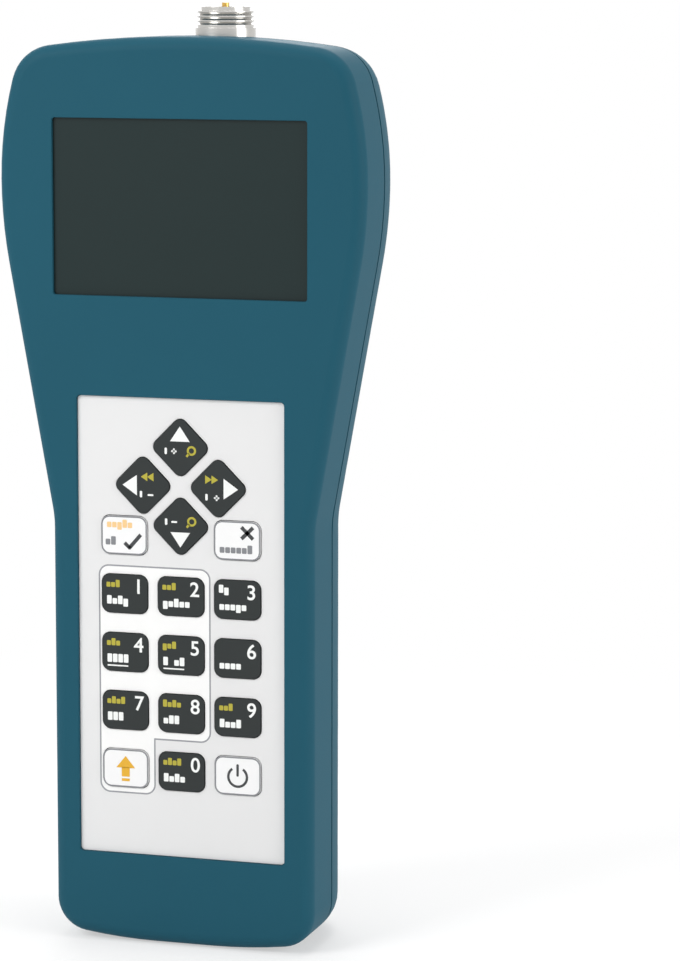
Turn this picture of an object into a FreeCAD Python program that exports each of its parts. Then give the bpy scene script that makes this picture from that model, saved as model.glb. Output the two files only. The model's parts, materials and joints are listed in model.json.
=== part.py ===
import FreeCAD, Part
import math
import os
import re
import Sketcher

# Handheld antenna analyzer, standing on its base.
# +Z runs up the case to the coaxial socket, the keypad and screen face -Y.
# The origin is the middle of the base; lengths are millimetres.

os.makedirs("parts", exist_ok=True)
doc = FreeCAD.newDocument("antenna_analyzer")

SIZES = {
    # Case outline, seen from the front
    "case_height": 181.0,
    "case_depth": 32.0,
    "grip_half_width": 27.2,
    "head_half_width": 37.8,
    "widest_height": 152.8,
    "side_radius_below": 93.0,
    "side_radius_above": 76.0,
    "taper_angle": 10.2,
    "neck_radius": 22.0,
    "base_corner_radius": 7.0,
    "base_arc_radius": 111.0,
    "base_flat_half_width": 6.0,
    "crown_corner_radius": 9.0,
    "crown_arc_radius": 205.0,
    # Case section
    "wall": 2.0,
    "front_edge_radius": 2.6,
    "front_half_depth": 13.8,
    "back_round_inset": 11.9,
    "base_round_inset": 4.0,
    "seam_gap": 0.6,
    "seal_inset": 0.45,
    "seal_width": 1.2,
    # Clearances
    "part_gap": 0.2,
    "key_gap": 0.16,
    "seat_gap": 0.1,
    # Screen
    "window_width": 52.6,
    "window_height": 34.8,
    "window_bottom": 130.3,
    "window_corner_radius": 0.6,
    "window_lip": 0.7,
    "window_border": 1.5,
    "display_border": 0.6,
    "display_glass": 2.0,
    "backlight_thickness": 2.0,
    "frame_wall": 1.5,
    # Keypad
    "panel_width": 43.0,
    "panel_height": 92.2,
    "panel_bottom": 18.2,
    "panel_corner_radius": 0.8,
    "panel_recess": 0.6,
    "panel_thickness": 0.5,
    "panel_ledge": 2.0,
    "backing_flange": 1.0,
    "key_pitch": 11.8,
    "first_row_drop": 39.4,
    "arrow_drop": 17.45,
    "arrow_offset": 7.84,
    "key_width": 9.6,
    "key_height": 7.7,
    "key_corner_radius": 1.7,
    "arrow_side": 8.75,
    "arrow_corner_radius": 1.5,
    "key_rise": 0.3,
    "key_travel": 0.3,
    "tab_reach": 0.6,
    "tab_height": 4.0,
    "tab_thickness": 0.6,
    "plunger_radius": 1.4,
    "plunger_length": 0.4,
    "dome_radius": 2.6,
    "dome_top_radius": 1.2,
    "dome_height": 0.35,
    "dome_clearance": 0.05,
    "keypad_board_width": 35.0,
    "keypad_board_thickness": 1.0,
    "keypad_post_offset": 15.2,
    # Boards
    "main_board_front": 8.5,
    "main_board_thickness": 1.6,
    "main_board_inset": 4.6,
    "main_board_bottom": 78.0,
    "board_post_radius": 2.2,
    "lower_post_x": 22.0,
    "lower_post_height": 98.0,
    "upper_post_x": 27.0,
    "upper_post_height": 121.0,
    "board_screw_radius": 1.0,
    "board_screw_head_radius": 1.9,
    "board_screw_head_height": 1.0,
    "board_screw_length": 3.0,
    "shield_width": 34.0,
    "shield_height": 26.0,
    "shield_depth": 4.6,
    "shield_skin": 0.3,
    "shield_bottom": 128.0,
    "chip_thickness": 1.4,
    "module_width": 12.0,
    "module_height": 16.0,
    "module_thickness": 2.4,
    "beeper_radius": 4.5,
    "beeper_thickness": 3.4,
    "flex_width": 20.0,
    "flex_thickness": 0.2,
    "header_width": 16.0,
    "header_height": 3.0,
    # Case screws
    "boss_radius": 3.5,
    "pilot_radius": 1.45,
    "case_screw_radius": 1.4,
    "case_screw_head_radius": 2.6,
    "case_screw_head_height": 1.8,
    "case_screw_grip": 3.0,
    "case_screw_bite": 8.0,
    "counterbore_radius": 2.9,
    "sleeve_radius": 4.1,
    "top_screw_x": 28.5,
    "top_screw_height": 171.2,
    "neck_screw_x": 21.4,
    "neck_screw_height": 86.0,
    "base_screw_x": 20.4,
    "base_screw_height": 8.8,
    # Coaxial socket
    "socket_x": 4.4,
    "socket_y": 0.0,
    "socket_thread_radius": 5.55,
    "socket_thread_pitch": 0.9,
    "socket_thread_depth": 0.45,
    "socket_rise": 5.9,
    "socket_band_radius": 5.95,
    "socket_band_height": 1.8,
    "socket_bore_radius": 4.15,
    "socket_lip_radius": 4.85,
    "socket_lip_height": 0.8,
    "socket_bore_depth": 5.3,
    "socket_tail_radius": 4.6,
    "socket_tail_length": 8.0,
    "socket_spotface_depth": 0.3,
    "socket_boss_depth": 2.4,
    "insulator_radius": 2.45,
    "insulator_rise": 4.2,
    "contact_radius": 0.7,
    "contact_rise": 6.7,
    "washer_radius": 7.4,
    "washer_thickness": 0.8,
    "nut_across_flats": 12.7,
    "nut_height": 2.6,
    "lead_radius": 0.9,
    "lead_bend_radius": 4.0,
    "lead_drop": 4.0,
    # Data socket in the base
    "usb_width": 7.7,
    "usb_depth": 3.9,
    "usb_length": 9.2,
    "usb_skin": 0.4,
    "usb_tongue_thickness": 0.9,
    "usb_tongue_width": 5.0,
    "usb_corner_radius": 0.8,
    "usb_setback": 0.5,
    "usb_board_width": 22.0,
    "usb_board_height": 16.0,
    "ribbon_width": 8.0,
    # Batteries
    "cell_radius": 7.15,
    "cell_length": 49.5,
    "cell_button_radius": 2.7,
    "cell_button_height": 1.0,
    "cell_pitch": 14.6,
    "cell_axis_depth": 6.0,
    "tray_bottom": 14.3,
    "tray_wall": 1.2,
    "tray_floor": 1.0,
    "tray_wall_height": 9.0,
    "tray_side_gap": 0.3,
    "tray_wall_half_width": 22.3,
    "leaf_thickness": 0.4,
    "leaf_width": 9.0,
    "leaf_height": 8.0,
    "leaf_depth": 3.0,
    # Battery door
    "door_half_width": 22.9,
    "door_bottom": 13.2,
    "door_length": 61.0,
    "door_gap": 0.2,
    "hook_x": 12.0,
    "hook_width": 6.0,
    "hook_reach": 3.0,
    "hook_thickness": 1.4,
    "hook_foot": 1.9,
    "grip_groove_pitch": 2.0,
    "grip_groove_radius": 0.45,
    "grip_groove_length": 14.0,
    "grip_groove_height": 62.5,
}

sizes = doc.addObject("Spreadsheet::Sheet", "Sizes")
for row, (alias, amount) in enumerate(SIZES.items(), start=1):
    sizes.set("A%d" % row, alias)
    sizes.set("B%d" % row, str(amount))
    sizes.setAlias("B%d" % row, alias)
doc.recompute()

# Places along Y that several pieces share, written as rules of the sheet's sizes
FRONT = "(-case_depth / 2)"
BACK = "(case_depth / 2)"
SPLIT = "(front_half_depth - case_depth / 2)"
WALL_BACK = "(wall - case_depth / 2)"
PANEL_BACK = "(panel_recess + panel_thickness - case_depth / 2)"
BACKING_BACK = "(wall + backing_flange - case_depth / 2)"
TAB_FRONT = "(wall + backing_flange + seat_gap - case_depth / 2)"
DOME_TOP = ("(wall + backing_flange + seat_gap + tab_thickness + plunger_length"
            " + key_travel + dome_clearance - case_depth / 2)")
KEYPAD_BOARD_FRONT = DOME_TOP[:-1] + " + dome_height)"
KEYPAD_BOARD_BACK = KEYPAD_BOARD_FRONT[:-1] + " + keypad_board_thickness)"
MAIN_FRONT = "(main_board_front - case_depth / 2)"
MAIN_BACK = "(main_board_front + main_board_thickness - case_depth / 2)"
WINDOW_MIDDLE = "(window_bottom + window_height / 2)"
PANEL_MIDDLE = "(panel_bottom + panel_height / 2)"
FLOOR_BACK = "(cell_axis_depth - cell_radius - seat_gap)"
CELL_BOTTOM = "(tray_bottom + tray_wall + leaf_depth)"
NUT_SEAT = "(case_height - wall - socket_boss_depth)"
TRAY_TOP = "(tray_bottom + 2 * tray_wall + leaf_depth + cell_length + cell_button_height + leaf_thickness)"

SCREW_PLACES = [
    ("top_screw_x", "top_screw_height"),
    ("neck_screw_x", "neck_screw_height"),
    ("base_screw_x", "base_screw_height"),
]
POST_PLACES = [
    ("lower_post_x", "lower_post_height"),
    ("upper_post_x", "upper_post_height"),
]
KEYS = {
    "key_ok": (-1, -1), "key_cancel": (1, -1),
    "key_1": (-1, 0), "key_2": (0, 0), "key_3": (1, 0),
    "key_4": (-1, 1), "key_5": (0, 1), "key_6": (1, 1),
    "key_7": (-1, 2), "key_8": (0, 2), "key_9": (1, 2),
    "key_function": (-1, 3), "key_0": (0, 3), "key_power": (1, 3),
}
ARROWS = {"key_up": (0, 1), "key_down": (0, -1), "key_left": (-1, 0), "key_right": (1, 0)}


def rule(text):
    """Write a rule with the sheet's name before each of its sizes."""
    return re.sub(r"[a-z_]+[a-z]", with_sheet, text)


def with_sheet(match):
    word = match.group(0)
    return "Sizes." + word if word in SIZES else word


def bind(thing, **rules):
    """Tie plain properties of an object to rules."""
    for name, text in rules.items():
        thing.setExpression(name, rule(text))
    return thing


def place(thing, x="0", y="0", z="0"):
    """Tie an object's position to rules."""
    thing.setExpression("Placement.Base.x", rule(x))
    thing.setExpression("Placement.Base.y", rule(y))
    thing.setExpression("Placement.Base.z", rule(z))
    return thing


def new_body(label):
    body = doc.addObject("PartDesign::Body", label)
    body.Label = label
    return body


def new_sketch(body, name, at="0", plane="XZ_Plane", turn=0.0):
    """Put a sketch on one of the body's own planes, moved to a place along Y, Z or X."""
    sketch = body.newObject("Sketcher::SketchObject", body.Name + "_" + name)
    support = [part for part in body.Origin.OriginFeatures if part.Role == plane][0]
    sketch.AttachmentSupport = (support, [""])
    sketch.MapMode = "FlatFace"
    sketch.AttachmentOffset = FreeCAD.Placement(
        FreeCAD.Vector(0, 0, 0), FreeCAD.Rotation(FreeCAD.Vector(0, 0, 1), turn))
    sketch.setExpression("AttachmentOffset.Base.z", rule("-(%s)" % at if plane == "XZ_Plane" else at))
    return sketch


def current_amount(sketch, kind, where):
    """The drawn value of a size, so that a new constraint starts out true."""
    if kind == "Radius":
        return sketch.Geometry[where[0]].Radius
    start, end = sketch.getPoint(where[0], where[1]), sketch.getPoint(where[2], where[3])
    return end.x - start.x if kind == "DistanceX" else end.y - start.y


def dimension(sketch, *wanted):
    """Add sized constraints, each given as (kind, places..., rule), and tie them to their rules."""
    found = [
        Sketcher.Constraint(kind, *where, current_amount(sketch, kind, where))
        for kind, *where, _ in wanted
    ]
    first = sketch.ConstraintCount
    sketch.addConstraint(found)
    for index, (_, *_, text) in enumerate(wanted, start=first):
        sketch.renameConstraint(index, "size%d" % index)
        sketch.setExpression("Constraints.size%d" % index, rule(text))


def draw_rectangle(sketch, width, height, corner, x="0", z="0"):
    """Draw a rectangle with round corners about a centre."""
    half_w, half_h, r = 4.0, 3.0, 0.5
    vector = FreeCAD.Vector
    up = vector(0, 0, 1)
    first = sketch.GeometryCount
    corners = [(half_w, half_h, 0), (-half_w, half_h, 1), (-half_w, -half_h, 2), (half_w, -half_h, 3)]
    arcs = []
    for cx, cz, quarter in corners:
        centre = vector(math.copysign(abs(cx) - r, cx), math.copysign(abs(cz) - r, cz), 0)
        start = quarter * math.pi / 2
        arcs.append(Part.ArcOfCircle(Part.Circle(centre, up, r), start, start + math.pi / 2))
    lines = []
    for index in range(4):
        lines.append(Part.LineSegment(arcs[index].EndPoint, arcs[(index + 1) % 4].StartPoint))
    sketch.addGeometry(arcs + lines, False)
    joints = []
    for index in range(4):
        joints.append(Sketcher.Constraint("Tangent", first + index, 2, first + 4 + index, 1))
        joints.append(Sketcher.Constraint("Tangent", first + 4 + index, 2, first + (index + 1) % 4, 1))
    for index in range(1, 4):
        joints.append(Sketcher.Constraint("Equal", first, first + index))
    joints.append(Sketcher.Constraint("Horizontal", first + 4))
    joints.append(Sketcher.Constraint("Vertical", first + 5))
    joints.append(Sketcher.Constraint("Horizontal", first + 6))
    joints.append(Sketcher.Constraint("Vertical", first + 7))
    sketch.addConstraint(joints)
    dimension(
        sketch,
        ("Radius", first, corner),
        ("DistanceX", first + 1, 3, first, 3, "%s - 2 * (%s)" % (width, corner)),
        ("DistanceY", first + 3, 3, first, 3, "%s - 2 * (%s)" % (height, corner)),
        ("DistanceX", -1, 1, first, 3, "%s + (%s) / 2 - (%s)" % (x, width, corner)),
        ("DistanceY", -1, 1, first, 3, "%s + (%s) / 2 - (%s)" % (z, height, corner)),
    )


def draw_circle(sketch, radius, x="0", z="0"):
    index = sketch.addGeometry(Part.Circle(FreeCAD.Vector(1, 1, 0), FreeCAD.Vector(0, 0, 1), 1.0), False)
    dimension(
        sketch,
        ("Radius", index, radius),
        ("DistanceX", -1, 1, index, 3, x),
        ("DistanceY", -1, 1, index, 3, z),
    )


def touch_angle(centre, other):
    """The direction from one arc's centre to another's, where the two arcs meet."""
    return math.atan2(other[1] - centre[1], other[0] - centre[0])


def draw_outline(sketch, inset="0", base_inset=None, base_corner=None, crown_corner=None):
    """Draw the case outline, moved inward by the inset: 18 lines and arcs that meet smoothly."""
    own_sizes = {
        "Inset": inset,
        "BaseInset": base_inset or inset,
        "BaseCorner": base_corner or "base_corner_radius - (%s)" % inset,
        "CrownCorner": crown_corner or "crown_corner_radius - (%s)" % inset,
    }
    for name, text in own_sizes.items():
        sketch.addProperty("App::PropertyFloat", name, "Outline")
        sketch.setExpression(name, rule(text))
    doc.recompute()
    gap, low = sketch.Inset, sketch.BaseInset
    base_r, crown_r = sketch.BaseCorner, sketch.CrownCorner
    lean = math.radians(sizes.taper_angle)
    flat, base_z = sizes.base_flat_half_width, sizes.base_arc_radius
    grip, neck_r = sizes.grip_half_width, sizes.neck_radius
    below_x = sizes.head_half_width - sizes.side_radius_below
    above_x = sizes.head_half_width - sizes.side_radius_above
    wide_z = sizes.widest_height
    crown_z = sizes.case_height - sizes.crown_arc_radius
    # Corner centres, from the circles that each corner must touch
    reach = grip - gap - base_r - flat
    base_centre = (grip - gap - base_r, base_z - math.sqrt((base_z - low - base_r) ** 2 - reach ** 2))
    foot_x = below_x + sizes.side_radius_below * math.cos(lean)
    foot_z = wide_z - sizes.side_radius_below * math.sin(lean)
    bend_z = foot_z - (foot_x - grip) / math.tan(lean)
    neck_centre = (grip + neck_r, bend_z - neck_r * math.tan(lean / 2))
    far = sizes.side_radius_above - gap - crown_r
    near = sizes.crown_arc_radius - gap - crown_r
    span = math.hypot(-above_x, crown_z - wide_z)
    along = (far ** 2 - near ** 2 + span ** 2) / (2 * span)
    side = math.sqrt(far ** 2 - along ** 2)
    step = (-above_x / span, (crown_z - wide_z) / span)
    crown_centre = (above_x + along * step[0] - side * step[1], wide_z + along * step[1] + side * step[0])
    arcs = [
        ((flat, base_z), base_z - low, -math.pi / 2, touch_angle((flat, base_z), base_centre)),
        (base_centre, base_r, touch_angle((flat, base_z), base_centre), 0.0),
        (neck_centre, neck_r + gap, math.pi - lean, math.pi),
        ((below_x, wide_z), sizes.side_radius_below - gap, -lean, 0.0),
        ((above_x, wide_z), sizes.side_radius_above - gap, 0.0,
         touch_angle((above_x, wide_z), crown_centre)),
        (crown_centre, crown_r, touch_angle((above_x, wide_z), crown_centre),
         touch_angle((0.0, crown_z), crown_centre)),
    ]
    up = FreeCAD.Vector(0, 0, 1)
    right, left = [], []
    for centre, radius, start, end in arcs:
        middle = FreeCAD.Vector(centre[0], centre[1], 0)
        right.append(Part.ArcOfCircle(Part.Circle(middle, up, radius), start, end))
        middle = FreeCAD.Vector(-centre[0], centre[1], 0)
        left.append(Part.ArcOfCircle(Part.Circle(middle, up, radius), math.pi - end, math.pi - start))
    top_angle = touch_angle((0.0, crown_z), crown_centre)
    top = Part.ArcOfCircle(Part.Circle(FreeCAD.Vector(0, crown_z, 0), up, sizes.crown_arc_radius - gap),
                           top_angle, math.pi - top_angle)

    def line(start, end):
        return Part.LineSegment(start, end)

    land = line(left[0].EndPoint, right[0].StartPoint)
    grip_right = line(right[1].EndPoint, right[2].EndPoint)
    taper_right = line(right[2].StartPoint, right[3].StartPoint)
    taper_left = line(left[3].EndPoint, left[2].EndPoint)
    grip_left = line(left[2].StartPoint, left[1].StartPoint)
    sketch.addGeometry([
        land, right[0], right[1], grip_right, right[2], taper_right, right[3], right[4], right[5], top,
        left[5], left[4], left[3], taper_left, left[2], grip_left, left[1], left[0],
    ], False)
    # Each pair is one end and the next piece's end, in the order of a walk round the outline
    ends = [(0, 2, 1, 1), (1, 2, 2, 1), (2, 2, 3, 1), (3, 2, 4, 2), (4, 1, 5, 1), (5, 2, 6, 1), (6, 2, 7, 1),
            (7, 2, 8, 1), (8, 2, 9, 1), (9, 2, 10, 1), (10, 2, 11, 1), (11, 2, 12, 1), (12, 2, 13, 1),
            (13, 2, 14, 2), (14, 1, 15, 1), (15, 2, 16, 1), (16, 2, 17, 1), (17, 2, 0, 1)]
    sketch.addConstraint([Sketcher.Constraint("Tangent", *pair) for pair in ends])
    sketch.addConstraint([
        Sketcher.Constraint("Symmetric", 0, 1, 0, 2, -2),
        Sketcher.Constraint("Vertical", 3), Sketcher.Constraint("Vertical", 15),
        Sketcher.Constraint("Equal", 1, 17), Sketcher.Constraint("Equal", 2, 16),
        Sketcher.Constraint("Equal", 4, 14), Sketcher.Constraint("Equal", 6, 12),
        Sketcher.Constraint("Equal", 7, 11), Sketcher.Constraint("Equal", 8, 10),
    ])
    dimension(
        sketch,
        ("DistanceX", -1, 1, 0, 2, "base_flat_half_width"),
        ("DistanceY", -1, 1, 0, 2, ".BaseInset"),
        ("Radius", 1, "base_arc_radius - .BaseInset"),
        ("Radius", 2, ".BaseCorner"),
        ("Radius", 4, "neck_radius + .Inset"),
        ("Radius", 6, "side_radius_below - .Inset"),
        ("Radius", 7, "side_radius_above - .Inset"),
        ("Radius", 8, ".CrownCorner"),
        ("Radius", 9, "crown_arc_radius - .Inset"),
        ("DistanceX", -1, 1, 3, 1, "grip_half_width - .Inset"),
        ("DistanceX", 15, 1, -1, 1, "grip_half_width - .Inset"),
        ("DistanceX", -1, 1, 6, 3, "head_half_width - side_radius_below"),
        ("DistanceY", -1, 1, 6, 3, "widest_height"),
        ("DistanceX", 12, 3, -1, 1, "head_half_width - side_radius_below"),
        ("DistanceY", -1, 1, 12, 3, "widest_height"),
        ("DistanceY", -1, 1, 7, 3, "widest_height"),
        ("DistanceY", -1, 1, 11, 3, "widest_height"),
        ("DistanceX", -1, 1, 9, 3, "0"),
        ("DistanceY", -1, 1, 9, 3, "case_height - crown_arc_radius"),
    )
    # The two straight tapers lean out from the grip by the same angle
    leans = {5: "90 deg - taper_angle * 1 deg", 13: "taper_angle * 1 deg - 90 deg"}
    for index, text in leans.items():
        start, end = sketch.Geometry[index].StartPoint, sketch.Geometry[index].EndPoint
        angle = math.atan2(end.y - start.y, end.x - start.x)
        number = sketch.addConstraint(Sketcher.Constraint("Angle", index, angle))
        sketch.renameConstraint(number, "lean%d" % index)
        sketch.setExpression("Constraints.lean%d" % index, rule(text))


def sweep_sketch(kind, body, sketch, length, reverse):
    feature = body.newObject("PartDesign::" + kind, sketch.Name + "_" + kind.lower())
    feature.Profile = sketch
    feature.Reversed = reverse
    feature.setExpression("Length", rule(length))
    body.Tip = feature
    return feature


def pad(body, sketch, length, backward=True):
    """Add the sketch's area as material: toward +Y, or down where the sketch is level."""
    return sweep_sketch("Pad", body, sketch, length, backward)


def pocket(body, sketch, length, backward=True):
    """Cut the sketch's area away: toward +Y, or down where the sketch is level."""
    return sweep_sketch("Pocket", body, sketch, length, not backward)


def slab(label, width, height, corner, front, thickness, x="0", z="0"):
    """A flat piece with round corners, between its front face and its thickness behind it."""
    body = new_body(label)
    sketch = new_sketch(body, "face", front)
    draw_rectangle(sketch, width, height, corner, x, z)
    pad(body, sketch, thickness)
    return body


def cut_rectangle(body, name, width, height, corner, front, depth, x="0", z="0", backward=True):
    sketch = new_sketch(body, name, front)
    draw_rectangle(sketch, width, height, corner, x, z)
    return pocket(body, sketch, depth, backward)


def add_circles(body, name, radius, places, front, depth, make=pad, backward=True):
    """Pad or pocket a circle at each (x rule, z rule) place."""
    sketch = new_sketch(body, name, front)
    for x, z in places:
        draw_circle(sketch, radius, x, z)
    return make(body, sketch, depth, backward)


def both_sides(places):
    return [(sign + x, z) for x, z in places for sign in ("", "-")]


def rod(name, radius, length, x, y, z, axis="y"):
    """A plain cylinder that starts at a place and runs along +Y, +Z or +X."""
    turns = {
        "x": FreeCAD.Rotation(FreeCAD.Vector(0, 1, 0), 90),
        "y": FreeCAD.Rotation(FreeCAD.Vector(1, 0, 0), -90),
        "z": FreeCAD.Rotation(),
    }
    cylinder = doc.addObject("Part::Cylinder", name)
    cylinder.Placement.Rotation = turns[axis]
    bind(cylinder, Radius=radius, Height=length)
    return place(cylinder, x, y, z)


def box(name, width, depth, height, x, y, z):
    """A box that is centred across x and starts at y and z."""
    block = doc.addObject("Part::Box", name)
    bind(block, Length=width, Width=depth, Height=height)
    return place(block, "%s - (%s) / 2" % (x, width), y, z)


def cut(name, base, tool):
    result = doc.addObject("Part::Cut", name)
    result.Base, result.Tool = base, tool
    return result


def join(name, pieces):
    result = doc.addObject("Part::MultiFuse", name)
    result.Shapes = pieces
    return result


def meet(name, pieces):
    result = doc.addObject("Part::MultiCommon", name)
    result.Shapes = pieces
    return result


SEAM_FRONT = "(front_half_depth - seam_gap / 2 - case_depth / 2)"
SEAM_BACK = "(front_half_depth + seam_gap / 2 - case_depth / 2)"
SCREW_SEAT = SEAM_BACK[:-1] + " + case_screw_grip)"


def build_front_case():
    body = new_body("front_case")
    outer = new_sketch(body, "outline", FRONT)
    draw_outline(outer)
    shell = pad(body, outer, "front_half_depth - seam_gap / 2")
    doc.recompute()
    rim = []
    for number, edge in enumerate(shell.Shape.Edges, start=1):
        if edge.BoundBox.YMax < -sizes.case_depth / 2 + sizes.wall / 4:
            rim.append("Edge%d" % number)
    rounding = body.newObject("PartDesign::Fillet", "front_rim")
    rounding.Base = (shell, rim)
    bind(rounding, Radius="front_edge_radius")
    body.Tip = rounding
    inner = new_sketch(body, "cavity", SEAM_FRONT)
    draw_outline(inner, inset="wall")
    pocket(body, inner, "front_half_depth - seam_gap / 2 - wall", backward=False)
    cut_rectangle(body, "window", "window_width", "window_height", "window_corner_radius",
                  FRONT, "wall", z=WINDOW_MIDDLE)
    cut_rectangle(body, "window_rebate", "window_width + 2 * window_border + 2 * part_gap",
                  "window_height + 2 * window_border + 2 * part_gap", "window_corner_radius",
                  WALL_BACK, "wall - window_lip", z=WINDOW_MIDDLE, backward=False)
    cut_rectangle(body, "panel_seat", "panel_width + 2 * seat_gap", "panel_height + 2 * seat_gap",
                  "panel_corner_radius", FRONT, "panel_recess + panel_thickness", z=PANEL_MIDDLE)
    cut_rectangle(body, "panel_opening", "panel_width - 2 * panel_ledge", "panel_height - 2 * panel_ledge",
                  "panel_corner_radius", FRONT, "wall", z=PANEL_MIDDLE)
    screws, posts = both_sides(SCREW_PLACES), both_sides(POST_PLACES)
    add_circles(body, "bosses", "boss_radius", screws, WALL_BACK,
                "front_half_depth + seam_gap / 2 - wall")
    add_circles(body, "pilots", "pilot_radius", screws, SEAM_BACK, "case_screw_bite", pocket, False)
    add_circles(body, "posts", "board_post_radius", posts, WALL_BACK, "main_board_front - wall")
    add_circles(body, "post_holes", "board_screw_radius + seat_gap / 2", posts, MAIN_FRONT,
                "board_screw_length", pocket, False)
    cut_upward(body, "socket_hole", "socket_thread_radius + part_gap", "case_height - 4 * wall", "8 * wall")
    cut_upward(body, "socket_face", "socket_band_radius + part_gap",
               "case_height - socket_spotface_depth", "4 * wall")
    port = new_sketch(body, "usb_opening", "2 * wall", "XY_Plane")
    draw_rectangle(port, "usb_width + 2 * part_gap", "usb_depth + 2 * part_gap", "usb_corner_radius",
                   "0", MAIN_FRONT + " - usb_depth / 2")
    pocket(body, port, "4 * wall")
    return body


def cut_upward(body, name, radius, start, length):
    """Cut a round hole for the socket, from a height upward."""
    sketch = new_sketch(body, name, start, "XY_Plane")
    draw_circle(sketch, radius, "socket_x", "socket_y")
    return pocket(body, sketch, length, backward=False)


# Where the back half's curve is drawn: degrees round a quarter ellipse from the seam to the flat back
BACK_CURVE = (0, 25, 48, 70, 90)


def build_back_form(name, start, end, inset):
    """The solid form of the back half: sections along a quarter ellipse, each moved in by the inset."""
    body = new_body(name)
    sections = []
    for angle in BACK_CURVE:
        share = "(1 - cos(%d deg))" % angle
        at = "(%s) + ((%s) - (%s)) * sin(%d deg)" % (start, end, start, angle)
        sketch = new_sketch(body, "section%d" % angle, at)
        draw_outline(
            sketch,
            "%s + back_round_inset * %s" % (inset, share),
            "%s + base_round_inset * %s ^ 3" % (inset, share),
            "base_corner_radius - (%s)" % inset,
            "crown_corner_radius - (%s)" % inset,
        )
        sections.append(sketch)
    loft = body.newObject("PartDesign::AdditiveLoft", name + "_loft")
    loft.Profile = (sections[0], [""])
    loft.Sections = [(sketch, [""]) for sketch in sections[1:]]
    loft.Ruled = False
    body.Tip = loft
    return body


def door_zone(name, gap):
    """The space that the battery door covers, less a gap: its top edge is an arc about the hinge line."""
    block = box(name + "_block", "2 * door_half_width - 2 * (%s)" % gap, "case_depth", "2 * door_length",
                "0", "0", "door_bottom + (%s)" % gap)
    swing = rod(name + "_swing", "door_length - (%s)" % gap, "2 * grip_half_width",
                "-grip_half_width", BACK, "door_bottom", "x")
    return meet(name, [block, swing])


def build_back_case():
    outer = build_back_form("back_form", SEAM_BACK, BACK, "0")
    hollow = build_back_form("back_hollow", SEAM_BACK, BACK + " - wall", "wall")
    sleeves, holes = [], []
    for number, (x, z) in enumerate(both_sides(SCREW_PLACES), start=1):
        sleeves.append(rod("sleeve%d" % number, "sleeve_radius", "case_depth", x, SPLIT, z))
        holes.append(rod("shank_hole%d" % number, "case_screw_radius + part_gap", "case_depth", x, SPLIT, z))
        holes.append(rod("counterbore%d" % number, "counterbore_radius", "case_depth", x, SCREW_SEAT, z))
    sleeves.append(rod("socket_boss", "washer_radius", "2 * wall + socket_boss_depth",
                       "socket_x", "socket_y", NUT_SEAT, "z"))
    room = cut("back_room", hollow, join("sleeves", sleeves))
    holes.append(door_zone("door_opening", "0"))
    holes.append(rod("back_socket_hole", "socket_thread_radius + part_gap", "8 * wall",
                     "socket_x", "socket_y", "case_height - 4 * wall", "z"))
    holes.append(rod("back_socket_face", "socket_band_radius + part_gap", "4 * wall",
                     "socket_x", "socket_y", "case_height - socket_spotface_depth", "z"))
    shell = cut("back_shell", outer, room)
    back = cut("back_case", shell, join("back_holes", holes))
    back.Label = "back_case"
    return back, shell


def build_battery_door(shell):
    skin = meet("door_skin", [shell, door_zone("door_shape", "door_gap")])
    hooks = []
    for number, side in enumerate(("", "-"), start=1):
        hooks.append(box("hook%d" % number, "hook_width", "hook_thickness",
                         "hook_reach + hook_foot", side + "hook_x",
                         BACK + " - wall - part_gap - hook_thickness", "door_bottom - hook_reach"))
        hooks.append(box("hook_foot%d" % number, "hook_width", "hook_thickness + 2 * part_gap",
                         "hook_foot - 2 * part_gap", side + "hook_x",
                         BACK + " - wall - part_gap - hook_thickness", "door_bottom + 2 * part_gap"))
    grooves = []
    for number in range(5):
        grooves.append(rod("grip_groove%d" % number, "grip_groove_radius", "grip_groove_length",
                           "-grip_groove_length / 2", BACK,
                           "grip_groove_height + %d * grip_groove_pitch" % number, "x"))
    door = cut("battery_door", join("door_body", [skin] + hooks), join("grip_grooves", grooves))
    door.Label = "battery_door"
    return door


def build_seal():
    body = new_body("case_seal")
    outside = new_sketch(body, "outside", SEAM_FRONT)
    draw_outline(outside, inset="seal_inset")
    pad(body, outside, "seam_gap")
    inside = new_sketch(body, "inside", SEAM_FRONT)
    draw_outline(inside, inset="seal_inset + seal_width")
    pocket(body, inside, "seam_gap")
    cut_upward(body, "socket_break", "socket_band_radius + part_gap", "case_height - 4 * wall", "8 * wall")
    return body


def build_case_screws():
    screws = []
    for number, (x, z) in enumerate(both_sides(SCREW_PLACES), start=1):
        shank = rod("case_shank%d" % number, "case_screw_radius",
                    "case_screw_grip + case_screw_bite - part_gap", x,
                    SCREW_SEAT + " - case_screw_grip - case_screw_bite + part_gap", z)
        head = rod("case_head%d" % number, "case_screw_head_radius", "case_screw_head_height",
                   x, SCREW_SEAT, z)
        recess = doc.addObject("Part::Prism", "case_drive%d" % number)
        recess.Polygon = 6
        recess.Placement.Rotation = FreeCAD.Rotation(FreeCAD.Vector(1, 0, 0), -90)
        bind(recess, Circumradius="case_screw_radius", Height="case_screw_head_height")
        place(recess, x, SCREW_SEAT + " + case_screw_head_height / 2", z)
        screws.append(cut("case_screw%d" % number, join("case_blank%d" % number, [shank, head]), recess))
    group = join("case_screws", screws)
    group.Label = "case_screws"
    return group


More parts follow.
